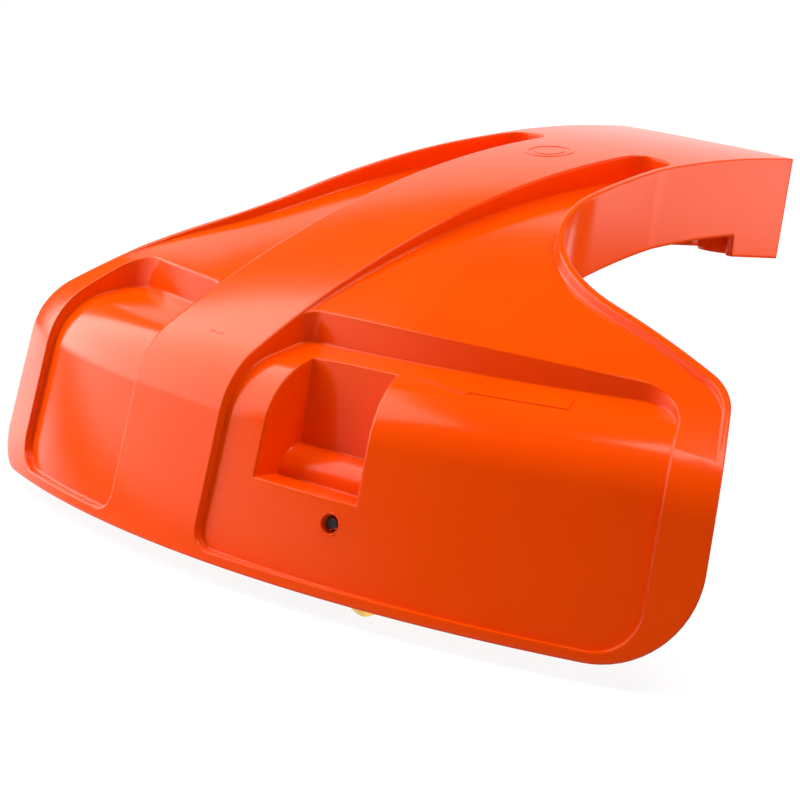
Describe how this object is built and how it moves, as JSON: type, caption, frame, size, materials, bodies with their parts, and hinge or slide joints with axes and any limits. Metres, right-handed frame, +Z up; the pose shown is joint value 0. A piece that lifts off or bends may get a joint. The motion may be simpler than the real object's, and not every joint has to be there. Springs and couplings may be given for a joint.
{
  "type": "trimmer guard",
  "caption": "Moulded guard for a string trimmer: a domed hood with sunk panels and a finger recess on a U-section neck, with a line cutter screwed inside its skirt.",
  "frame": {"origin": "middle of the seat under the neck, between its two screw bores; the machine's spindle axis passes 44 mm behind it and the rim lies 93.3 mm below it", "axes": "+X to the right seen from the skirt, +Y from the skirt along the neck to the machine, +Z up, along the spindle"},
  "size_m": [0.2483, 0.2235, 0.1318],
  "materials": {
    "shell": "satin moulded orange plastic",
    "cutter": "yellow zinc plated steel strip",
    "screw": "black oxide steel"
  },
  "bodies": {
    "root": {"guard_shell": "shell", "line_cutter": "cutter", "cutter_screw": "screw"}
  },
  "joints": []
}
